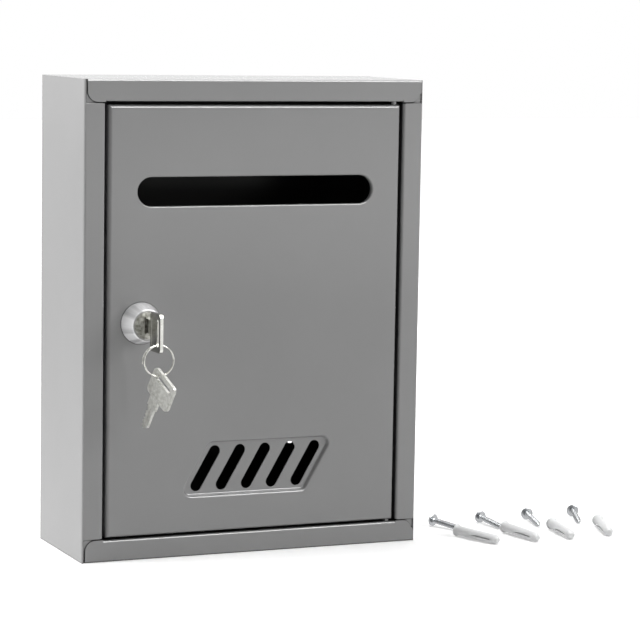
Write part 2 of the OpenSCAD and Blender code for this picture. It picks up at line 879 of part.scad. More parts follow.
module wall_screws() {
    dip = atan((screw_head_d - screw_d) / 2 / (screw_l - screw_tip_l));
    color(steel) for (i = [0:3]) kit_place(i, kit_screw_y, fan_screws[i], screw_head_d / 2 * cos(dip), dip)
        wall_screw();
}

// Pan-head screw with its head's underside at the origin, pointing along +Z
module wall_screw() {
    difference() {
        rotate_extrude() polygon(concat(
            [[0, -screw_head_h]],
            [for (a = [15:15:90]) [screw_head_d / 2 * sin(a), -screw_head_h * cos(a)]],
            [
                [screw_d / 2, 0],
                [screw_d / 2, screw_l - screw_tip_l],
                [0, screw_l]
            ]
        ));
        for (turn = [0, 90]) rotate(turn)
            translate([0, 0, -screw_head_h]) cube([drive_l, drive_w, 2 * drive_d], center = true);
    }
}

module wall_plugs() {
    dip = atan((anchor_flange_d - plug_anchor_d) / 2 / (plug_anchor_l - anchor_tip_l));
    color(nylon) for (i = [0:3])
        kit_place(i, kit_plug_y, fan_plugs[i], anchor_flange_d / 2 * cos(dip) + eps, dip) wall_plug();
}

// Nylon plug: flange, hollow body, slit front half and two side fins
module wall_plug() {
    r = plug_anchor_d / 2;
    difference() {
        union() {
            rotate_extrude() polygon([
                [0, 0],
                [anchor_flange_d / 2, 0],
                [r, anchor_flange_h],
                [r, plug_anchor_l - anchor_tip_l],
                [r - anchor_tip_in, plug_anchor_l],
                [0, plug_anchor_l]
            ]);
            for (side = [0, 1]) mirror([side, 0, 0])
                translate([r - 1, fin_t / 2, plug_anchor_l * fin_from]) rotate([90, 0, 0])
                    linear_extrude(fin_t) polygon([[0, 0], [1 + fin_out, 0], [0, fin_l]]);
        }
        translate([0, 0, -1]) cylinder(d = screw_d - 1, h = plug_anchor_l * anchor_bore + 1);
        translate([-r - fin_out - 1, -anchor_slit_w / 2, plug_anchor_l * anchor_slit_from])
            cube([2 * (r + fin_out + 1), anchor_slit_w, plug_anchor_l * anchor_slit_l]);
    }
}

body_wrap();
top_pan();
bottom_pan();
upper_hinge_pin();
lower_hinge_pin();
door_panel();
lock_housing();
lock_washer();
lock_nut();
lock_plug();
lock_wafers();
wafer_springs();
stop_washer();
lock_cam();
spring_washer();
cam_nut();
key();
key_ring();
spare_key();
wall_screws();
wall_plugs();
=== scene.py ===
"""The looks of the wall donation box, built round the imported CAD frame. Metres, in the frame's own axes."""

import json
import math

import bmesh
import bpy
from mathutils import Matrix, Vector

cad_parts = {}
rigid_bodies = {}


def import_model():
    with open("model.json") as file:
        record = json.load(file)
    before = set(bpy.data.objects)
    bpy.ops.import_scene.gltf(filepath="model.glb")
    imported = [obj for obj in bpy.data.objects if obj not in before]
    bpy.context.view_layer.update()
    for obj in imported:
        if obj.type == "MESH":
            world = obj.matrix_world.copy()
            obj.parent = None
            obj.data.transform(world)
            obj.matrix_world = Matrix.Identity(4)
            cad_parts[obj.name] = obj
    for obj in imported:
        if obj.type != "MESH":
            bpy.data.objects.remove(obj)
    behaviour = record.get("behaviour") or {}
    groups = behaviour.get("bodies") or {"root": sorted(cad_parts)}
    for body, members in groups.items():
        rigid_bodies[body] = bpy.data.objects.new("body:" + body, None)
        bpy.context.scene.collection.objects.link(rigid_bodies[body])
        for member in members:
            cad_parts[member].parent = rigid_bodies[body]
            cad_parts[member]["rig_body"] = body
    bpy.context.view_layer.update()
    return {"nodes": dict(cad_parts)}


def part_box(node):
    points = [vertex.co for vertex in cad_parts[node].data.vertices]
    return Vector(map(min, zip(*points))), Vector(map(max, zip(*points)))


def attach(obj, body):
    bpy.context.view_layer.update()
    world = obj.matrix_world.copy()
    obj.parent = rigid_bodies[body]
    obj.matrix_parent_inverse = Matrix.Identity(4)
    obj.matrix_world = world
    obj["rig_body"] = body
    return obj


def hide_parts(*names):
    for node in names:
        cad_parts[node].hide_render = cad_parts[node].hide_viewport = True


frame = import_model()
nodes = frame["nodes"]
MM = 0.001

# ---------------------------------------------------------------- measures

# The photograph's camera: angles in degrees, lens and sensor in millimetres
CAMERA_YAW, CAMERA_PITCH, CAMERA_ROLL = 23.61, 6.70, 0.96
CAMERA_LENS, CAMERA_SENSOR = 150.5, 36
CAMERA_PLACE = (-0.6449, -1.6227, 0.3523)

# The case, as in the CAD source
CASE_W, CASE_D, CASE_H = 232 * MM, 88 * MM, 305 * MM
HALF_SHEET = 0.5 * MM
# What lies less than this behind the case's front belongs to its front
FRONT_DEPTH = 2.5 * MM
# The space inside the middle of the case's sheet, whose faces the case's paint darkens as painted shade
SHADED_INNER_SPACE = (
    ("X", HALF_SHEET - CASE_W / 2, CASE_W / 2 - HALF_SHEET),
    ("Y", FRONT_DEPTH - CASE_D / 2, CASE_D / 2 - HALF_SHEET),
    ("Z", HALF_SHEET, CASE_H - HALF_SHEET),
)
# Where the right ends of the front bars begin, and how far they are drawn to the side
BAR_END_X, BAR_END_SHIFT = 113.8 * MM, 0.9 * MM

# Level and rounding of the door's face and of the floor of the vent pressed into it
VENT_FOLDS = ((-44 * MM, 1.0 * MM), (-41 * MM, 0.7 * MM))
# How much of a face's normal lies along Y, on flat sheet and on the vent's sloping wall
FLAT_SHEET, SLOPING_WALL = 0.99, (0.2, 0.6)
LEVEL_TOLERANCE = 0.02 * MM
FOLD_SEGMENTS = 6

# Up to this angle faces are one plane, and from this one on their edge is broken
ONE_PLANE, SHARP_EDGE = math.radians(0.6), math.radians(28)
# Points this near to each other are one
WELD = 0.001 * MM

# Split ring: radius of its wire, and the part of it that is drawn so that the turns stay clear
WIRE_R, WIRE_DRAWN = 0.52 * MM, 0.96
WIRE_SIDES, WIRE_STEPS = 14, 160
# Turns of the wire, the part of them that it fills before its end, and the angle where it starts
RING_TURNS, RING_CLOSED, RING_START = 2, 0.985, math.radians(200)
RING_SHARP = math.radians(50)
# The crank from one turn to the other: start and length in turns, and rise in wire radii either way
CRANK_START, CRANK_LENGTH, CRANK_RISE = 0.94, 0.12, 0.97
# How far the second turn springs out at the left, the turn where it starts and how fast it does
SPRUNG_OPEN, SPRUNG_START, SPRUNG_RATE = 0.9 * MM, 1, 4

# Wall screws: measures, fan in degrees and places as in the CAD source
SCREW_L, SCREW_TIP, SCREW_R, SCREW_CORE = 30 * MM, 5 * MM, 2 * MM, 1.35 * MM
HEAD_R, HEAD_H, HEAD_RIM, HEAD_CHAMFER = 4.2 * MM, 2.6 * MM, 0.5 * MM, 0.25 * MM
SCREW_FAN = (21, 5, -11, -20)
SCREW_X, SCREW_STEP, SCREW_Y = 150 * MM, 36 * MM, -4 * MM
# Sides of the head, steps of its dome in degrees, and the angle that stays sharp
HEAD_SIDES, DOME_STEP, SCREW_SHARP = 32, 9, math.radians(30)
# Thread: its start inside the head, its pitch, and where it starts to rise and over what length
THREAD_START, THREAD_PITCH, THREAD_STEPS = -0.8 * MM, 1.7 * MM, 24
THREAD_RISE, THREAD_LEAD = 0.2 * MM, 1 * MM
THREAD_MERGE = 0.004 * MM
# Parts of the pitch, and of the height from core to crest
THREAD_PROFILE = ((0.0, 0), (0.3, 0), (0.46, 1), (0.54, 1), (0.7, 0), (1.0, 0))
# Cross recess: level, half length and half width at its mouth and at its floor
RECESS = (
    (-HEAD_H - 0.5 * MM, 2.5 * MM, 0.62 * MM),
    (-HEAD_H + 1.6 * MM, 1.1 * MM, 0.4 * MM),
)

# ---------------------------------------------------------------- looks

def grey(level):
    return (level,) * 3


# Painted shade in seams: how near another face has to be for a seam to be painted dark, and how closed the
# seam is then
SEAM_REACH, SEAM_RAYS = 1.2 * MM, 12
SEAM_CLOSED, SEAM_OPEN = 0.5, 0.85
# Paint: the darker and lighter tone of the grey for the case and for the door, and the dark grey painted in
# as shade inside the case and in seams
CASE_GREY, DOOR_GREY = (grey(0.264), grey(0.283)), (grey(0.256), grey(0.273))
PAINTED_SHADE_GREY = grey(0.045)
PAINT_ROUGH = (0.225, 0.265)
PAINT_COAT, PAINT_COAT_ROUGH = 0.5, 0.12
# Gloss of the paint, and the lower gloss of its painted shade
PAINT_GLOSS, PAINTED_SHADE_GLOSS = 0.5, 0.1
MOTTLE_SCALE, SHEEN_SCALE = 9, 60
PEEL_SCALE, PEEL_HEIGHT, PEEL_STRENGTH = 700, 0.008 * MM, 0.3
# The part of a noise's range that its values fill
NOISE_FILLED = (0.3, 0.7)
# Part of a direction that a face's normal has to have to count as square to it
SQUARE_TO = (0.93, 0.98)
# Painted reflection streaks on the lock's cone: their noise scale and the edge between dark and light
STREAK_SCALE, STREAK_EDGE = 2.6, (0.42, 0.58)
# Bump strength of the plating, and the noise scale of the darker tone painted as shade on flat faces
PLATING_STRENGTH, FLAT_SHADE_SCALE = 0.5, 300
NYLON_FLOW_SCALE, NYLON_SCATTER_DEPTH, NYLON_SCATTER_SHARE = 120, 2 * MM, 0.15
NYLON_GRAIN_SCALE, NYLON_GRAIN_HEIGHT, NYLON_GRAIN_STRENGTH = 700, 0.03 * MM, 0.3

# Directions over the floor: to the left and a little forward, and to the right front
LEFT = (-0.94, -0.34, 0)
RIGHT = (0.80, -0.60, 0)
FLOOR_SIZE, FLOOR_ROUGH, FLOOR_GLOSS = 12, 0.9, 0.1
# The floor's grey as the camera sees it, and in the light that it throws back
FLOOR_SEEN, FLOOR_BOUNCE = 0.9, 0.7
# Light that the floor adds for the camera, from near to far, and the distances from the object
FLOOR_GLOW, FLOOR_GLOW_OVER = (0.3, 1.0), (0.3, 1.1)
# What gloss mirrors of the floor: less toward the left, and more at the far right and close by
MIRRORED_LEFT, MIRRORED_LEFT_OVER = (0.8, 0.45), (0.35, 0.9)
MIRRORED_RIGHT, MIRRORED_RIGHT_OVER = (0, 1.3), (1.3, 2.3)
MIRRORED_NEAR, MIRRORED_NEAR_OVER = (0.3, 0), (0.1, 1.1)
# A bright window high at the right front, which folded edges mirror: direction, level, edge, heights
WINDOW = (0.42, -0.70, 0.58)
WINDOW_LEVEL = 12.0
WINDOW_EDGE, WINDOW_HEIGHT = (0.83, 0.95), (0.42, 0.56)
# Mirrored walls, darker toward the left, and the light that the world itself gives
WALLS, WALLS_OVER = (0.95, 0.5), (0.55, 0.85)
WORLD_LIGHT = 0.1


# ---------------------------------------------------------------- camera

def make_camera():
    yaw, pitch, roll = (math.radians(a) for a in (CAMERA_YAW, CAMERA_PITCH, CAMERA_ROLL))
    forward = Vector((math.sin(yaw) * math.cos(pitch), math.cos(yaw) * math.cos(pitch), -math.sin(pitch)))
    right = Vector((math.cos(yaw), -math.sin(yaw), 0))
    up = right.cross(forward)
    tilted_right = math.cos(roll) * right + math.sin(roll) * up
    tilted_up = -math.sin(roll) * right + math.cos(roll) * up
    data = bpy.data.cameras.new("camera")
    data.sensor_fit = "HORIZONTAL"
    data.sensor_width = CAMERA_SENSOR
    data.lens = CAMERA_LENS
    data.clip_start, data.clip_end = 0.05, 30
    cam = bpy.data.objects.new("camera", data)
    turn = Matrix((tilted_right, tilted_up, -forward)).transposed().to_4x4()
    cam.matrix_world = Matrix.Translation(CAMERA_PLACE) @ turn
    bpy.context.scene.collection.objects.link(cam)
    bpy.context.scene.camera = cam


# ---------------------------------------------------------------- node helpers

def shader(name):
    mat = bpy.data.materials.new(name)
    mat.use_nodes = True
    tree = mat.node_tree
    return mat, tree, tree.nodes["Principled BSDF"]


def add(tree, kind, **values):
    node = tree.nodes.new(kind)
    for key, value in values.items():
        setattr(node, key, value)
    return node


def feed(tree, value, socket):
    """Gives a socket another node's output, a colour or a number."""
    if isinstance(value, bpy.types.NodeSocket):
        tree.links.new(value, socket)
    elif socket.type == "RGBA":
        socket.default_value = (*value, 1)
    else:
        socket.default_value = value


def math_of(tree, operation, *values):
    """A math node of one or two sockets or numbers."""
    node = add(tree, "ShaderNodeMath", operation=operation)
    for socket, value in zip(node.inputs, values):
        feed(tree, value, socket)
    return node.outputs[0]


def combined(tree, operation, first, *others):
    """Several sockets added or multiplied."""
    for other in others:
        first = math_of(tree, operation, first, other)
    return first


def vector_of(tree, operation, *values):
    """A vector math node of one or two sockets or vectors."""
    node = add(tree, "ShaderNodeVectorMath", operation=operation)
    for socket, value in zip(node.inputs, values):
        feed(tree, value, socket)
    return node.outputs["Vector"]


def toward(tree, vector, direction):
    """How far a place or a direction reaches toward another direction."""
    node = add(tree, "ShaderNodeVectorMath", operation="DOT_PRODUCT")
    feed(tree, vector, node.inputs[0])
    feed(tree, direction, node.inputs[1])
    return node.outputs["Value"]


def mixed(tree, factor, first, second, kind="RGBA"):
    """A mix of two colours, or of two numbers with the kind FLOAT."""
    node = add(tree, "ShaderNodeMix", data_type=kind)
    feed(tree, factor, node.inputs["Factor"])
    feed(tree, first, node.inputs["A"])
    feed(tree, second, node.inputs["B"])
    return node.outputs["Result"]


def span(tree, value, low, high, over=(0, 1)):
    """A value that goes from low to high as another goes over a range, and is held beyond it."""
    node = add(tree, "ShaderNodeMapRange")
    node.inputs["From Min"].default_value, node.inputs["From Max"].default_value = over
    node.inputs["To Min"].default_value = low
    node.inputs["To Max"].default_value = high
    tree.links.new(value, node.inputs["Value"])
    return node.outputs["Result"]


def place(tree, kind="Object"):
    return add(tree, "ShaderNodeTexCoord").outputs[kind]


def noise(tree, scale, detail=2.0, roughness=0.5, vector=None):
    node = add(tree, "ShaderNodeTexNoise")
    node.inputs["Scale"].default_value = scale
    node.inputs["Detail"].default_value = detail
    node.inputs["Roughness"].default_value = roughness
    tree.links.new(vector or place(tree), node.inputs["Vector"])
    return node.outputs["Fac"]


def bump(tree, bsdf, value, height, strength):
    node = add(tree, "ShaderNodeBump")
    node.inputs["Strength"].default_value = strength
    node.inputs["Distance"].default_value = height
    tree.links.new(value, node.inputs["Height"])
    tree.links.new(node.outputs["Normal"], bsdf.inputs["Normal"])


# ---------------------------------------------------------------- materials

def inside_case_shade_mask(tree):
    """Painted shade inside the case: 1 on the faces inside the case and 0 on the outer ones, from the place
    on the object.
    """
    split = add(tree, "ShaderNodeSeparateXYZ")
    tree.links.new(place(tree), split.inputs[0])
    within = []
    for axis, low, high in SHADED_INNER_SPACE:
        within.append(math_of(tree, "GREATER_THAN", split.outputs[axis], low))
        within.append(math_of(tree, "LESS_THAN", split.outputs[axis], high))
    return combined(tree, "MULTIPLY", *within)


def painted_seam_shade(tree):
    """Painted shade in seams: 1 deep in the narrow seams between sheets and 0 on open faces, from ambient
    occlusion.
    """
    near = add(tree, "ShaderNodeAmbientOcclusion", samples=SEAM_RAYS)
    near.inputs["Distance"].default_value = SEAM_REACH
    return span(tree, near.outputs["AO"], 1, 0, over=(SEAM_CLOSED, SEAM_OPEN))


def powder_coat(name, dark, light, shaded_inside=False):
    """Semi-gloss powder coat: a fine orange peel and a slight mottling of tone. Seams, and on the case also
    its inside, get painted shade: a dark grey with less coat and gloss.
    """
    mat, tree, bsdf = shader(name)
    mottle = span(tree, noise(tree, MOTTLE_SCALE, detail=3), 0, 1, over=NOISE_FILLED)
    # Painted shade: seams, and on the case also its inside, are mixed toward a dark grey with less coat and
    # gloss
    painted_shade_share = painted_seam_shade(tree)
    if shaded_inside:
        painted_shade_share = math_of(tree, "MAXIMUM", painted_shade_share, inside_case_shade_mask(tree))
    colour = mixed(tree, painted_shade_share, mixed(tree, mottle, dark, light), PAINTED_SHADE_GREY)
    tree.links.new(colour, bsdf.inputs["Base Color"])
    tree.links.new(span(tree, painted_shade_share, PAINT_COAT, 0), bsdf.inputs["Coat Weight"])
    tree.links.new(span(tree, painted_shade_share, PAINT_GLOSS, PAINTED_SHADE_GLOSS), bsdf.inputs["Specular IOR Level"])
    sheen = span(tree, noise(tree, SHEEN_SCALE), *PAINT_ROUGH, over=NOISE_FILLED)
    tree.links.new(sheen, bsdf.inputs["Roughness"])
    bsdf.inputs["Coat Roughness"].default_value = PAINT_COAT_ROUGH
    bump(tree, bsdf, noise(tree, PEEL_SCALE, detail=1), PEEL_HEIGHT, PEEL_STRENGTH)
    return mat


def plated(name, dark, light, rough, scale, height=0.004 * MM, metal=1, tone_of=None):
    """Plated metal with a fine cast or rolled grain. Its tone follows the grain or a pattern of its own."""
    mat, tree, bsdf = shader(name)
    bsdf.inputs["Metallic"].default_value = metal
    grain = noise(tree, scale, detail=3, roughness=0.6)
    tone = tone_of(tree) if tone_of else span(tree, grain, 0, 1, over=NOISE_FILLED)
    tree.links.new(mixed(tree, tone, dark, light), bsdf.inputs["Base Color"])
    tree.links.new(span(tree, grain, *rough, over=NOISE_FILLED), bsdf.inputs["Roughness"])
    bump(tree, bsdf, grain, height, PLATING_STRENGTH)
    return mat


def painted_reflection_streaks(tree):
    """Painted reflection: streaks of lighter and darker tone that run out from the lock's axis, standing in
    for the streaks that a polished cone reflects.
    """
    low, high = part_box("lock_housing")
    offset = vector_of(tree, "SUBTRACT", place(tree), (low + high) / 2)
    spoke = vector_of(tree, "NORMALIZE", vector_of(tree, "MULTIPLY", offset, (1, 0, 1)))
    return span(tree, noise(tree, STREAK_SCALE, vector=spoke), 0, 1, over=STREAK_EDGE)


def flats_with_painted_shade(mat, direction, dark, light, rough):
    """Gives the faces square to a direction of the object, either way round, another roughness and a darker
    tone that is painted shade.
    """
    tree = mat.node_tree
    bsdf = tree.nodes["Principled BSDF"]
    along = math_of(tree, "ABSOLUTE", toward(tree, place(tree, "Normal"), direction))
    face = span(tree, along, 0, 1, over=SQUARE_TO)
    tone = mixed(tree, noise(tree, FLAT_SHADE_SCALE), dark, light)
    for name, value, kind in (("Base Color", tone, "RGBA"), ("Roughness", rough, "FLOAT")):
        before = bsdf.inputs[name].links[0].from_socket
        tree.links.new(mixed(tree, face, before, value, kind), bsdf.inputs[name])


def nylon_white(name, dark, light, rough):
    mat, tree, bsdf = shader(name)
    flow = noise(tree, NYLON_FLOW_SCALE, detail=3)
    tree.links.new(mixed(tree, flow, dark, light), bsdf.inputs["Base Color"])
    tree.links.new(span(tree, flow, *rough), bsdf.inputs["Roughness"])
    bsdf.inputs["Subsurface Weight"].default_value = NYLON_SCATTER_SHARE
    bsdf.inputs["Subsurface Radius"].default_value = (NYLON_SCATTER_DEPTH,) * 3
    bump(tree, bsdf, noise(tree, NYLON_GRAIN_SCALE), NYLON_GRAIN_HEIGHT, NYLON_GRAIN_STRENGTH)
    return mat


# The case's paint is also darkened inside the case as painted shade
paint = powder_coat("grey_powder_coat", *CASE_GREY, shaded_inside=True)
door_paint = powder_coat("grey_powder_coat_door", *DOOR_GREY)
# Chrome whose tone is painted reflection streaks round the lock's axis
chrome = plated("chrome_plate", dark=(0.60, 0.60, 0.605), light=(0.93, 0.93, 0.935), rough=(0.18, 0.26),
                scale=160, height=0.001 * MM, metal=0.35, tone_of=painted_reflection_streaks)
# Painted shade: the bezel's faces square to Y get a darker tone
flats_with_painted_shade(chrome, (0, 1, 0), dark=(0.30, 0.30, 0.29), light=(0.40, 0.40, 0.39), rough=0.35)
plug_nickel = plated("plug_nickel", dark=(0.20, 0.20, 0.17), light=(0.56, 0.56, 0.52), rough=(0.3, 0.45),
                     scale=520)
pin_steel = plated("pin_steel", dark=grey(0.10), light=grey(0.20), rough=(0.2, 0.26), scale=500)
zinc = plated("zinc_plate", dark=(0.38, 0.39, 0.40), light=(0.52, 0.53, 0.54), rough=(0.18, 0.26), scale=500)
key_nickel = plated("key_nickel", dark=(0.74, 0.74, 0.70), light=(0.84, 0.84, 0.80), rough=(0.16, 0.24),
                    scale=300, height=0.001 * MM)
# Painted shade: the key's flat sides get a darker tone, so that its edges stand out lighter
flats_with_painted_shade(key_nickel, (1, 0, 0), dark=(0.34, 0.34, 0.31), light=(0.46, 0.46, 0.43), rough=0.2)
spare_nickel = plated("spare_key_nickel", dark=(0.39, 0.39, 0.36), light=(0.62, 0.62, 0.59),
                      rough=(0.29, 0.34), scale=420, height=0.002 * MM, metal=0.7)
ring_wire = plated("ring_wire", dark=(0.52, 0.52, 0.48), light=(0.72, 0.72, 0.68), rough=(0.12, 0.2),
                   scale=500, height=0.001 * MM)
brass = plated("wafer_brass", dark=(0.60, 0.44, 0.18), light=(0.76, 0.58, 0.26), rough=(0.29, 0.4), scale=600)
nylon = nylon_white("white_nylon", dark=(0.82, 0.825, 0.825), light=(0.88, 0.885, 0.89), rough=(0.38, 0.5))

FINISH = {
    "body_wrap": paint, "top_pan": paint, "bottom_pan": paint, "door_panel": door_paint,
    "upper_hinge_pin": pin_steel, "lower_hinge_pin": paint, "lock_housing": chrome, "lock_washer": zinc,
    "lock_nut": zinc, "lock_plug": plug_nickel, "lock_wafers": brass, "wafer_springs": zinc,
    "stop_washer": zinc, "lock_cam": zinc, "spring_washer": zinc, "cam_nut": zinc, "key": key_nickel,
    "key_ring": ring_wire, "spare_key": spare_nickel, "wall_screws": zinc, "wall_plugs": nylon,
}


# ---------------------------------------------------------------- pieces

def coat(obj, mat):
    obj.data.materials.clear()
    obj.data.materials.append(mat)


def mesh_of(bm, name):
    bmesh.ops.recalc_face_normals(bm, faces=bm.faces)
    mesh = bpy.data.meshes.new(name)
    bm.to_mesh(mesh)
    bm.free()
    return mesh


def stand_for(node, name, bm):
    """Makes a closed mesh a smooth piece that stands for a CAD node and has its finish."""
    obj = bpy.data.objects.new(name, mesh_of(bm, name))
    bpy.context.scene.collection.objects.link(obj)
    for face in obj.data.polygons:
        face.use_smooth = True
    coat(obj, FINISH[node])
    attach(obj, nodes[node]["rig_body"])
    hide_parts(node)
    return obj


def pressed_edges(bm, level):
    """The edges at a level of the door's front side that the vent's sloping wall meets."""
    found = []
    for e in bm.edges:
        if len(e.link_faces) != 2 or any(abs(v.co.y - level) > LEVEL_TOLERANCE for v in e.verts):
            continue
        wall, flat = sorted(abs(f.normal.y) for f in e.link_faces)
        if flat > FLAT_SHEET and SLOPING_WALL[0] < wall < SLOPING_WALL[1]:
            found.append(e)
    return found


def close_right_end(bm):
    """Takes the right end of a pan's front bar nearly up to the side, as the photograph shows it."""
    for v in bm.verts:
        if v.co.x > BAR_END_X and v.co.y < FRONT_DEPTH - CASE_D / 2:
            v.co.x += BAR_END_SHIFT


def softened(node, name, width, segments=2, folds=(), shaping=None):
    """The CAD node's shape with its sharp edges broken, as pressing, casting or stamping leaves them."""
    bm = bmesh.new()
    bm.from_mesh(nodes[node].data)
    bmesh.ops.remove_doubles(bm, verts=bm.verts, dist=WELD)
    bmesh.ops.dissolve_limit(bm, angle_limit=ONE_PLANE, verts=bm.verts, edges=bm.edges)
    if shaping:
        shaping(bm)
    for level, radius in folds:
        bmesh.ops.bevel(bm, geom=pressed_edges(bm, level), offset=radius, segments=FOLD_SEGMENTS, profile=0.5,
                        affect="EDGES", clamp_overlap=True, harden_normals=False)
    sharp = [e for e in bm.edges if len(e.link_faces) == 2 and e.calc_face_angle() > SHARP_EDGE]
    bmesh.ops.bevel(bm, geom=sharp, offset=width, segments=segments, profile=0.5, affect="EDGES",
                    clamp_overlap=True, harden_normals=False)
    weighted = stand_for(node, name, bm).modifiers.new("weighted_normals", "WEIGHTED_NORMAL")
    weighted.keep_sharp = True


def swept(bm, path, radius):
    """A round wire along a path, closed at both ends."""
    loops = []
    for i, point in enumerate(path):
        along = (path[min(i + 1, len(path) - 1)] - path[max(i - 1, 0)]).normalized()
        out = Vector((0, 1, 0)).cross(along).normalized()
        side = along.cross(out)
        loops.append([bm.verts.new(point + radius * (math.cos(a) * out + math.sin(a) * side))
                      for a in (2 * math.pi * k / WIRE_SIDES for k in range(WIRE_SIDES))])
    for a, b in zip(loops, loops[1:]):
        for k in range(WIRE_SIDES):
            m = (k + 1) % WIRE_SIDES
            bm.faces.new((a[k], a[m], b[m], b[k]))
    bm.faces.new(loops[0])
    bm.faces.new(list(reversed(loops[-1])))


def held(value):
    """A value kept from 0 to 1."""
    return min(max(value, 0), 1)


def eased(value):
    """A value from 0 to 1 that starts and ends gently."""
    return value * value * (3 - 2 * value)


def split_ring():
    """Two turns of wire on each other, cranked over where the ends lie and sprung apart at the left."""
    low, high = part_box("key_ring")
    centre = (low + high) / 2
    mean_r = (high.x - low.x) / 2 - WIRE_R
    path = []
    for i in range(WIRE_STEPS + 1):
        turn = RING_TURNS * i / WIRE_STEPS
        crossed = eased(held((turn - CRANK_START) / CRANK_LENGTH))
        lift = (2 * crossed - 1) * WIRE_R * CRANK_RISE
        angle = RING_START + 2 * math.pi * turn * RING_CLOSED
        sprung = max(-math.cos(angle), 0) ** 2 * held((turn - SPRUNG_START) * SPRUNG_RATE)
        r = mean_r + SPRUNG_OPEN * sprung
        path.append(centre + Vector((r * math.cos(angle), lift, r * math.sin(angle))))
    bm = bmesh.new()
    swept(bm, path, WIRE_R * WIRE_DRAWN)
    ring = stand_for("key_ring", "split_ring", bm)
    ring.data.set_sharp_from_angle(angle=RING_SHARP)


def screw_thread(bm):
    """One helical sheet from the head to the tip, closed at both ends."""
    count = int((SCREW_L - THREAD_START) / THREAD_PITCH + 2) * THREAD_STEPS
    rows = []
    for k in range(-THREAD_STEPS, count):
        angle = 2 * math.pi * k / THREAD_STEPS
        row = []
        for part, rise in THREAD_PROFILE:
            z = THREAD_START + THREAD_PITCH * (k / THREAD_STEPS + part)
            z = min(max(z, THREAD_START), SCREW_L)
            r = SCREW_CORE + (SCREW_R - SCREW_CORE) * rise * held((z - THREAD_RISE) / THREAD_LEAD)
            r *= min(1, (SCREW_L - z) / SCREW_TIP)
            row.append(bm.verts.new((r * math.cos(angle), r * math.sin(angle), z)))
        rows.append(row)
    for a, b in zip(rows, rows[1:]):
        for j in range(len(THREAD_PROFILE) - 1):
            bm.faces.new((a[j], b[j], b[j + 1], a[j + 1]))
    bmesh.ops.remove_doubles(bm, verts=bm.verts, dist=THREAD_MERGE)
    bmesh.ops.dissolve_degenerate(bm, edges=bm.edges, dist=THREAD_MERGE)
    bmesh.ops.holes_fill(bm, edges=[e for e in bm.edges if e.is_boundary], sides=0)


def turned(bm, outline):
    """A lathed solid; the outline's first and last points lie on the axis."""
    loops = []
    for r, z in outline:
        if r == 0:
            loops.append([bm.verts.new((0, 0, z))])
        else:
            loops.append([bm.verts.new((r * math.cos(a), r * math.sin(a), z))
                          for a in (2 * math.pi * k / HEAD_SIDES for k in range(HEAD_SIDES))])
    for a, b in zip(loops, loops[1:]):
        for k in range(HEAD_SIDES):
            m = (k + 1) % HEAD_SIDES
            if len(a) == 1:
                bm.faces.new((a[0], b[k], b[m]))
            elif len(b) == 1:
                bm.faces.new((a[k], b[0], a[m]))
            else:
                bm.faces.new((a[k], b[k], b[m], a[m]))


def recess_cutter(turn):
    """One arm of the cross recess, which narrows as it goes in."""
    bm = bmesh.new()
    corners = ((-1, -1), (1, -1), (1, 1), (-1, 1))
    mouth, floor = ([bm.verts.new((x * half_l, y * half_w, z)) for x, y in corners]
                    for z, half_l, half_w in RECESS)
    bm.faces.new(mouth)
    bm.faces.new(floor)
    for k in range(4):
        m = (k + 1) % 4
        bm.faces.new((mouth[k], mouth[m], floor[m], floor[k]))
    bmesh.ops.rotate(bm, verts=bm.verts, matrix=Matrix.Rotation(math.radians(turn), 3, "Z"))
    return bpy.data.objects.new("drive", mesh_of(bm, "drive"))


def recessed_head():
    """Pan head with its cross recess."""
    bm = bmesh.new()
    dome = []
    for degrees in range(0, 91, DOME_STEP):
        a = math.radians(degrees)
        dome.append((HEAD_R * math.sin(a), -HEAD_RIM - (HEAD_H - HEAD_RIM) * math.cos(a)))
    turned(bm, dome + [(HEAD_R, -HEAD_CHAMFER), (HEAD_R - HEAD_CHAMFER, 0), (0, 0)])
    head = bpy.data.objects.new("head", mesh_of(bm, "head"))
    cutters = [recess_cutter(turn) for turn in (0, 90)]
    for obj in [head] + cutters:
        bpy.context.scene.collection.objects.link(obj)
    for cutter in cutters:
        cut = head.modifiers.new("cut", "BOOLEAN")
        cut.operation, cut.object, cut.solver = "DIFFERENCE", cutter, "EXACT"
    graph = bpy.context.evaluated_depsgraph_get()
    mesh = bpy.data.meshes.new_from_object(head.evaluated_get(graph))
    for obj in [head] + cutters:
        bpy.data.objects.remove(obj)
    return mesh


def threaded_screws():
    """The four screws on the floor, each resting on its head's rim and its shank's end."""
    dip = math.atan((HEAD_R - SCREW_R) / (SCREW_L - SCREW_TIP))
    one = bmesh.new()
    screw_thread(one)
    one.from_mesh(recessed_head())
    shape = mesh_of(one, "screw")
    bm = bmesh.new()
    for i, fan in enumerate(SCREW_FAN):
        first = len(bm.verts)
        bm.from_mesh(shape)
        bm.verts.ensure_lookup_table()
        spot = (Matrix.Translation((SCREW_X + i * SCREW_STEP, SCREW_Y, HEAD_R * math.cos(dip)))
                @ Matrix.Rotation(math.radians(fan), 4, "Z")
                @ Matrix.Rotation(math.radians(90) + dip, 4, "X"))
        bmesh.ops.transform(bm, matrix=spot, verts=bm.verts[first:])
    screws = stand_for("wall_screws", "screws_threaded", bm)
    screws.data.set_sharp_from_angle(angle=SCREW_SHARP)


# ---------------------------------------------------------------- surroundings

def reflected(tree, rays):
    """1 on a ray that comes by a reflection or through glass."""
    return math_of(tree, "MAXIMUM", rays.outputs["Is Glossy Ray"], rays.outputs["Is Transmission Ray"])


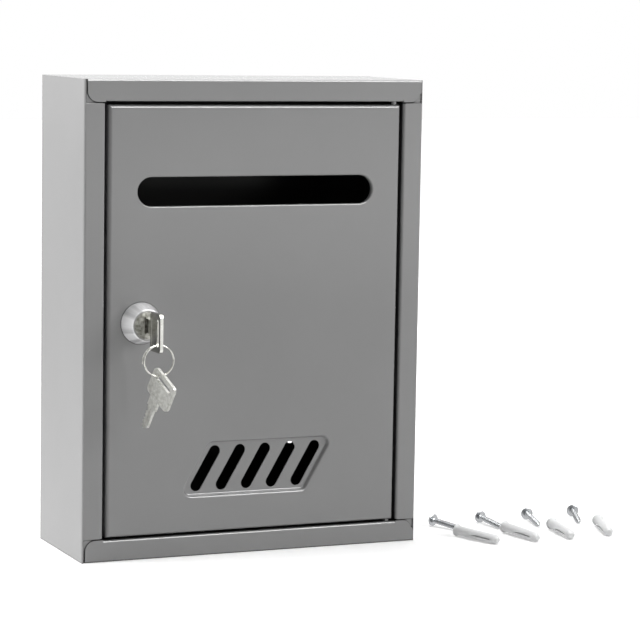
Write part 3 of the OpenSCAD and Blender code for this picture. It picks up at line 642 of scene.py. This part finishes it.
def make_floor():
    """Pale floor with the object's shadow: white far off for the camera, evenly lit in reflections."""
    bpy.ops.mesh.primitive_plane_add(size=FLOOR_SIZE, location=(0, 0, 0))
    floor = bpy.context.object
    floor.name = "floor"
    mat, tree, bsdf = shader("pale_floor")
    bsdf.inputs["Roughness"].default_value = FLOOR_ROUGH
    bsdf.inputs["Specular IOR Level"].default_value = FLOOR_GLOSS
    rays = add(tree, "ShaderNodeLightPath")
    camera_ray = rays.outputs["Is Camera Ray"]
    colour = mixed(tree, camera_ray, grey(FLOOR_BOUNCE), grey(FLOOR_SEEN))
    tree.links.new(colour, bsdf.inputs["Base Color"])

    spot = place(tree)
    length = add(tree, "ShaderNodeVectorMath", operation="LENGTH")
    tree.links.new(spot, length.inputs[0])
    away = length.outputs["Value"]
    glow = add(tree, "ShaderNodeEmission")
    whiter = span(tree, away, *FLOOR_GLOW, over=FLOOR_GLOW_OVER)
    tree.links.new(math_of(tree, "MULTIPLY", whiter, camera_ray), glow.inputs["Strength"])
    seen = add(tree, "ShaderNodeAddShader")
    tree.links.new(bsdf.outputs[0], seen.inputs[0])
    tree.links.new(glow.outputs[0], seen.inputs[1])

    wide = span(tree, toward(tree, spot, LEFT), *MIRRORED_LEFT, over=MIRRORED_LEFT_OVER)
    far_right = span(tree, toward(tree, spot, RIGHT), *MIRRORED_RIGHT, over=MIRRORED_RIGHT_OVER)
    near = span(tree, away, *MIRRORED_NEAR, over=MIRRORED_NEAR_OVER)
    mirrored = add(tree, "ShaderNodeEmission")
    tree.links.new(combined(tree, "ADD", wide, far_right, near), mirrored.inputs["Strength"])

    final = add(tree, "ShaderNodeMixShader")
    tree.links.new(reflected(tree, rays), final.inputs[0])
    tree.links.new(seen.outputs[0], final.inputs[1])
    tree.links.new(mirrored.outputs[0], final.inputs[2])
    tree.links.new(final.outputs[0], tree.nodes["Material Output"].inputs["Surface"])
    coat(floor, mat)


def make_world():
    """White for the camera. Reflections show white walls, darker at the left, and the window."""
    world = bpy.data.worlds.new("studio")
    bpy.context.scene.world = world
    world.use_nodes = True
    tree = world.node_tree
    back = tree.nodes["Background"]
    back.inputs["Color"].default_value = (1, 1, 1, 1)
    way = place(tree, "Generated")
    split = add(tree, "ShaderNodeSeparateXYZ")
    tree.links.new(way, split.inputs[0])
    window = math_of(tree, "MULTIPLY",
                     span(tree, toward(tree, way, WINDOW), 0, WINDOW_LEVEL, over=WINDOW_EDGE),
                     span(tree, split.outputs["Z"], 0, 1, over=WINDOW_HEIGHT))
    walls = span(tree, toward(tree, way, LEFT), *WALLS, over=WALLS_OVER)
    room = math_of(tree, "ADD", walls, window)
    rays = add(tree, "ShaderNodeLightPath")
    unseen = mixed(tree, reflected(tree, rays), WORLD_LIGHT, room, "FLOAT")
    level = mixed(tree, rays.outputs["Is Camera Ray"], unseen, 1, "FLOAT")
    tree.links.new(level, back.inputs["Strength"])


def softbox(name, spot, target, size, power, mirrored=False):
    """A wide lamp that lights the object. Gloss mirrors it only where that is asked for."""
    data = bpy.data.lights.new(name, "AREA")
    data.shape = "RECTANGLE"
    data.size, data.size_y = size
    data.energy = power
    lamp = bpy.data.objects.new(name, data)
    lamp.location = spot
    lamp.rotation_mode = "QUATERNION"
    lamp.rotation_quaternion = (Vector(target) - Vector(spot)).to_track_quat("-Z", "Y")
    lamp.visible_camera = False
    lamp.visible_glossy = mirrored
    bpy.context.scene.collection.objects.link(lamp)


# ---------------------------------------------------------------- the whole model

for node, mat in FINISH.items():
    coat(nodes[node], mat)

softened("body_wrap", "case_wrap", 0.2 * MM)
softened("top_pan", "case_top", 0.25 * MM, shaping=close_right_end)
softened("bottom_pan", "case_bottom", 0.25 * MM, shaping=close_right_end)
softened("door_panel", "door_skin", 0.25 * MM, folds=VENT_FOLDS)
softened("lock_housing", "lock_bezel", 0.35 * MM, segments=3)
softened("lock_plug", "lock_barrel", 0.15 * MM)
softened("lock_nut", "lock_ring_nut", 0.3 * MM)
softened("lock_cam", "lock_tongue", 0.2 * MM)
softened("cam_nut", "tongue_nut", 0.2 * MM)
softened("key", "key_in_lock", 0.2 * MM)
softened("spare_key", "key_spare", 0.2 * MM)
softened("wall_plugs", "plugs_soft", 0.25 * MM)
split_ring()
threaded_screws()

make_camera()
make_floor()
make_world()
softbox("side_light", spot=(-1.6, 0.45, 1.05), target=(-0.1, 0, 0.15), size=(1.2, 1.0), power=39)
softbox("top_light", spot=(0.1, 0.2, 1.6), target=(0, 0, 0.1), size=(1.0, 0.85), power=20, mirrored=True)
softbox("front_light", spot=(1.2, -1.25, 0.85), target=(0.1, 0, 0.1), size=(1.1, 1.0), power=15)
bpy.context.scene.view_settings.view_transform = "Standard"
